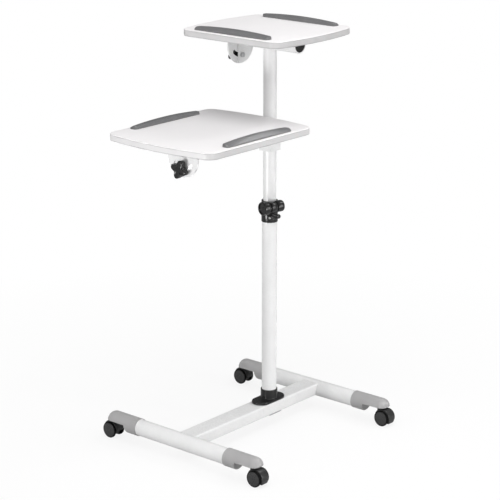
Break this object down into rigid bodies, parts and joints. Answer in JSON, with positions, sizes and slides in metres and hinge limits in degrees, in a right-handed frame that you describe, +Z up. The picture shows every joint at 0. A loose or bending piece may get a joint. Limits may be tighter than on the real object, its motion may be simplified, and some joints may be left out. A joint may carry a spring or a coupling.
{
  "type": "projector cart",
  "caption": "Rolling stand with an H-shaped base on swivel casters, a telescopic clamped post and tilting shelves with raised side rails, for a projector and a laptop.",
  "frame": {"origin": "on the floor, at the centre of the bounding box: between the lower shelf's outer edge and the far leg along X, midway along the legs in Y", "axes": "+X along the cross bar from the shelf side to the post's leg, +Y along the legs, +Z up the post"},
  "size_m": [0.6664, 0.561, 1.109],
  "materials": {
    "white_powder_coat": "satin",
    "white_laminate": "satin",
    "grey_plastic": "matte",
    "dark_grey_plastic": "matte",
    "black_plastic": "satin",
    "tread": "satin",
    "zinc_steel": "satin"
  },
  "bodies": {
    "base": {"near_leg": "white_powder_coat", "far_leg": "white_powder_coat", "cross_bar": "white_powder_coat", "under_plate": "zinc_steel", "foot_flange": "black_plastic", "lower_post": "white_powder_coat", "clamp_body": "black_plastic", "near_back_cap": "grey_plastic", "near_front_cap": "grey_plastic", "far_back_cap": "grey_plastic", "far_front_cap": "grey_plastic"},
    "near_back_caster": {"near_back_fork": "black_plastic"},
    "near_back_roller": {"near_back_wheels": "tread"},
    "near_front_caster": {"near_front_fork": "black_plastic"},
    "near_front_roller": {"near_front_wheels": "tread"},
    "far_back_caster": {"far_back_fork": "black_plastic"},
    "far_back_roller": {"far_back_wheels": "tread"},
    "far_front_caster": {"far_front_fork": "black_plastic"},
    "far_front_roller": {"far_front_wheels": "tread"},
    "clamp_handle": {"clamp_knob": "black_plastic"},
    "bush": {"mast_bush": "black_plastic"},
    "mast": {"upper_post": "white_powder_coat", "lower_collar": "white_powder_coat", "lower_gutter": "white_powder_coat", "top_gutter": "white_powder_coat", "top_plug": "black_plastic"},
    "lower_shelf": {"lower_board": "white_laminate", "lower_rail_left": "dark_grey_plastic", "lower_rail_right": "dark_grey_plastic", "lower_bracket": "white_powder_coat", "lower_rear_pin": "zinc_steel", "lower_ear": "white_powder_coat", "lower_pivot": "zinc_steel"},
    "lower_handle": {"lower_tilt_knob": "black_plastic"},
    "top_shelf": {"top_board": "white_laminate", "top_rail_left": "dark_grey_plastic", "top_rail_right": "dark_grey_plastic", "top_bracket": "white_powder_coat", "top_rear_pin": "zinc_steel", "top_ear": "white_powder_coat", "top_pivot": "zinc_steel"},
    "top_handle": {"top_tilt_knob": "black_plastic"}
  },
  "joints": [
    {"name": "near_back_swivel", "type": "hinge", "parent": "base", "child": "near_back_caster", "pos_m": [-0.23075, 0.239, 0.044], "axis": [0, 0, 1], "continuous": true},
    {"name": "near_back_roll", "type": "hinge", "parent": "near_back_caster", "child": "near_back_roller", "pos_m": [-0.23075, 0.255, 0.022], "axis": [1, 0, 0], "continuous": true},
    {"name": "near_front_swivel", "type": "hinge", "parent": "base", "child": "near_front_caster", "pos_m": [-0.23075, -0.239, 0.044], "axis": [0, 0, 1], "continuous": true},
    {"name": "near_front_roll", "type": "hinge", "parent": "near_front_caster", "child": "near_front_roller", "pos_m": [-0.23075, -0.255, 0.022], "axis": [1, 0, 0], "continuous": true},
    {"name": "far_back_swivel", "type": "hinge", "parent": "base", "child": "far_back_caster", "pos_m": [0.30925, 0.239, 0.044], "axis": [0, 0, 1], "continuous": true},
    {"name": "far_back_roll", "type": "hinge", "parent": "far_back_caster", "child": "far_back_roller", "pos_m": [0.30925, 0.255, 0.022], "axis": [1, 0, 0], "continuous": true},
    {"name": "far_front_swivel", "type": "hinge", "parent": "base", "child": "far_front_caster", "pos_m": [0.30925, -0.239, 0.044], "axis": [0, 0, 1], "continuous": true},
    {"name": "far_front_roll", "type": "hinge", "parent": "far_front_caster", "child": "far_front_roller", "pos_m": [0.30925, -0.255, 0.022], "axis": [1, 0, 0], "continuous": true},
    {"name": "clamp_knob_turn", "type": "hinge", "parent": "base", "child": "clamp_handle", "pos_m": [0.10547, -0.03541, 0.625], "axis": [0.9659, -0.2588, 0], "range_deg": [-360, 0]},
    {"name": "mast_turn", "type": "hinge", "parent": "base", "child": "bush", "pos_m": [0.11375, -0.0045, 0.6075], "axis": [0, 0, 1], "range_deg": [-180, 180]},
    {"name": "mast_height", "type": "slide", "parent": "bush", "child": "mast", "axis": [0, 0, 1], "range_m": [-0.12, 0.15]},
    {"name": "lower_tilt", "type": "hinge", "parent": "mast", "child": "lower_shelf", "pos_m": [-0.12125, -0.0045, 0.8227], "axis": [1, 0, 0], "range_deg": [-30, 30]},
    {"name": "top_tilt", "type": "hinge", "parent": "mast", "child": "top_shelf", "pos_m": [0.11375, -0.0045, 1.052], "axis": [0, 1, 0], "range_deg": [-30, 30]},
    {"name": "lower_knob_turn", "type": "hinge", "parent": "mast", "child": "lower_handle", "pos_m": [-0.12125, -0.0045, 0.7857], "axis": [1, 0, 0], "range_deg": [0, 360]},
    {"name": "top_knob_turn", "type": "hinge", "parent": "mast", "child": "top_handle", "pos_m": [0.11375, -0.0045, 1.015], "axis": [0, 1, 0], "range_deg": [-360, 0]}
  ]
}
